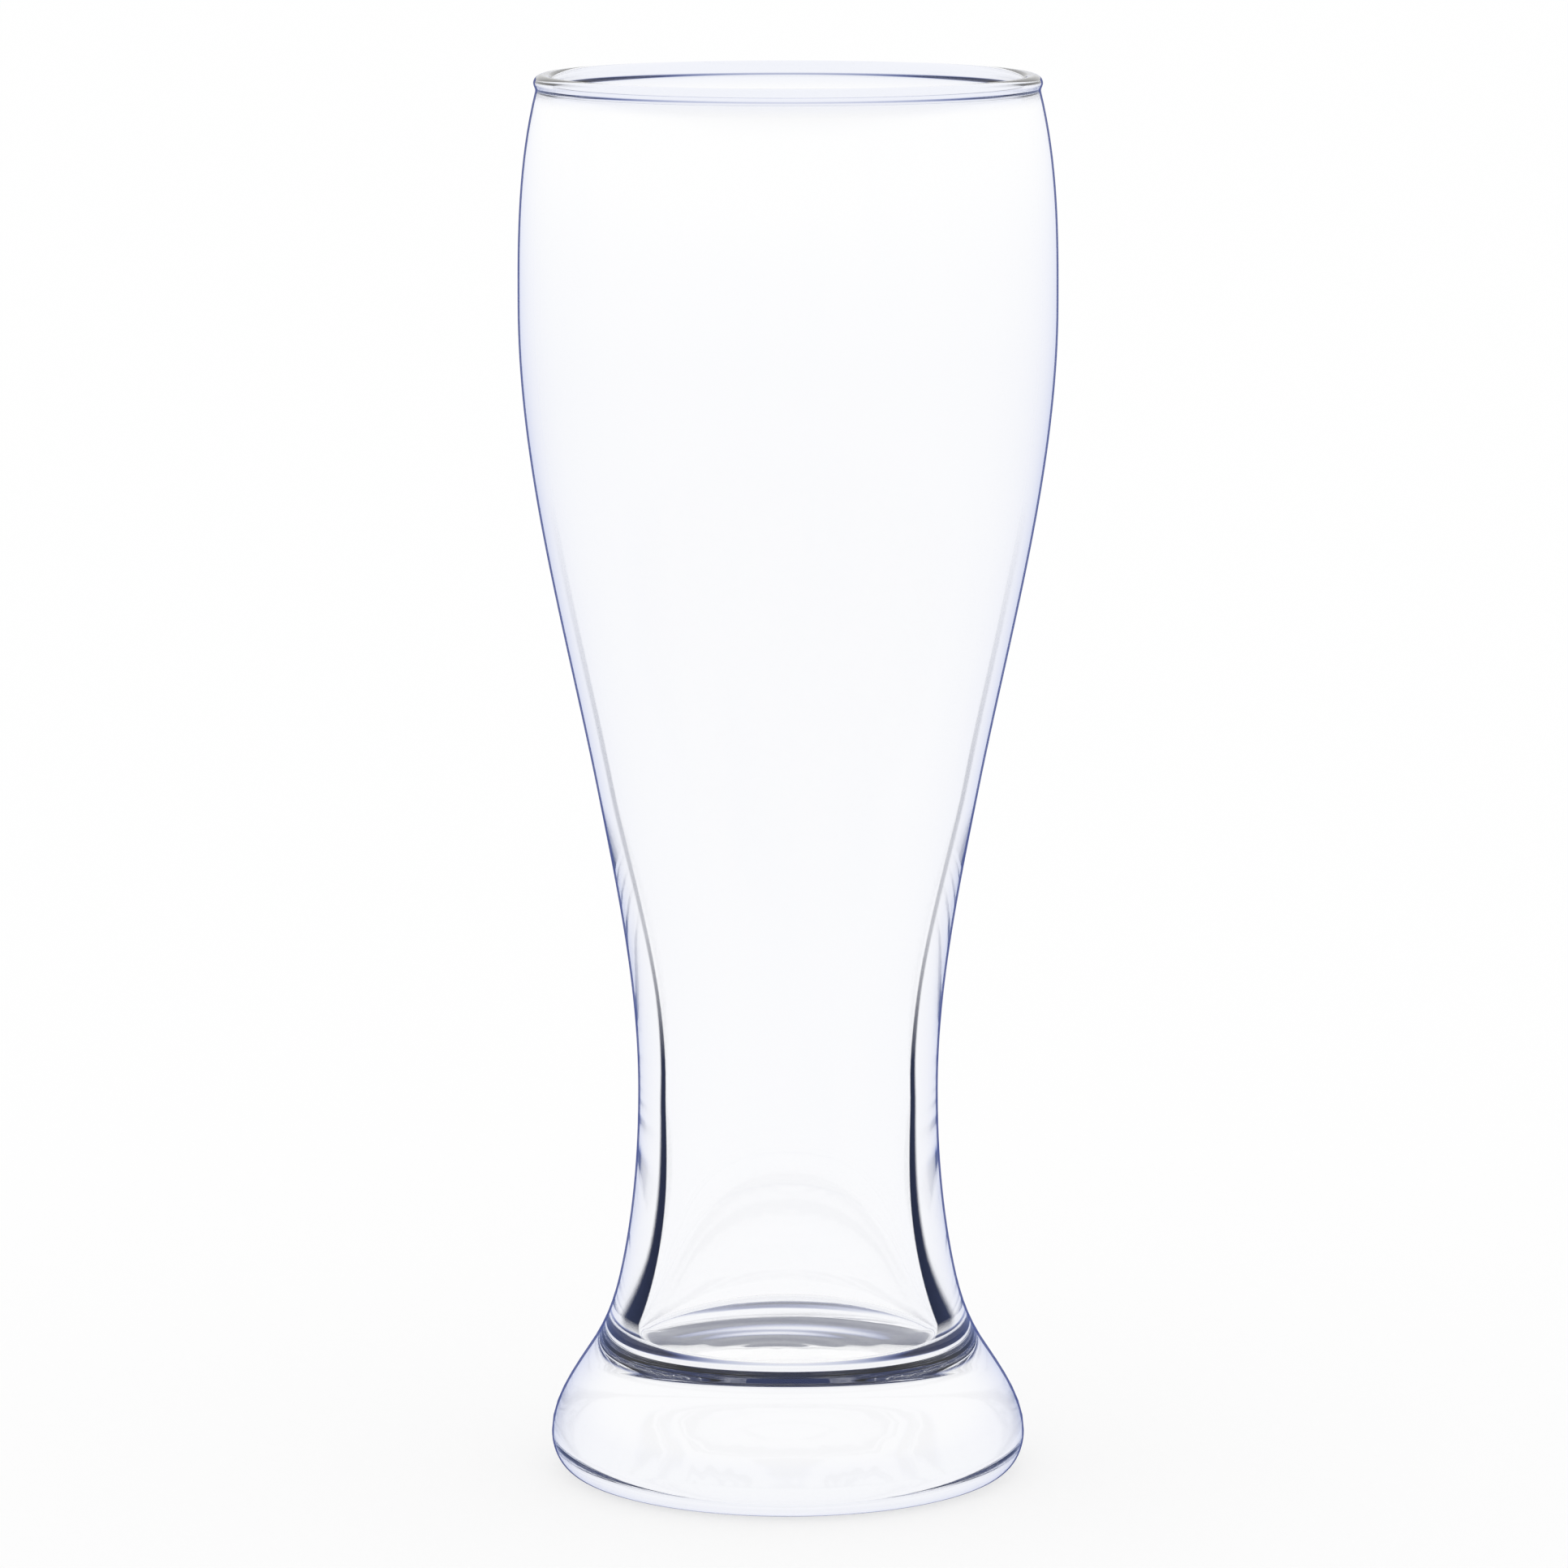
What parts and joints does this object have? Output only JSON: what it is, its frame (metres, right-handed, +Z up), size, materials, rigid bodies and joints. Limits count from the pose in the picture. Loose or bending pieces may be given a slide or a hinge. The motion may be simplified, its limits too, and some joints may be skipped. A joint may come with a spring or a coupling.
{
  "type": "pilsner glass",
  "caption": "Tall clear beer glass with a beaded rim, a wide belly, a narrow waist and a heavy rounded foot, for serving and drinking beer.",
  "frame": {"origin": "centre of the base, on the surface that the glass stands on", "axes": "+Z up the glass's axis, from the foot to the mouth; X and Y are alike, because the glass is turned"},
  "size_m": [0.0808, 0.0808, 0.2123],
  "materials": {
    "clear_glass": "fire-polished, clear"
  },
  "bodies": {
    "root": {"rim_bead": "clear_glass", "bowl": "clear_glass", "foot": "clear_glass"}
  },
  "joints": []
}
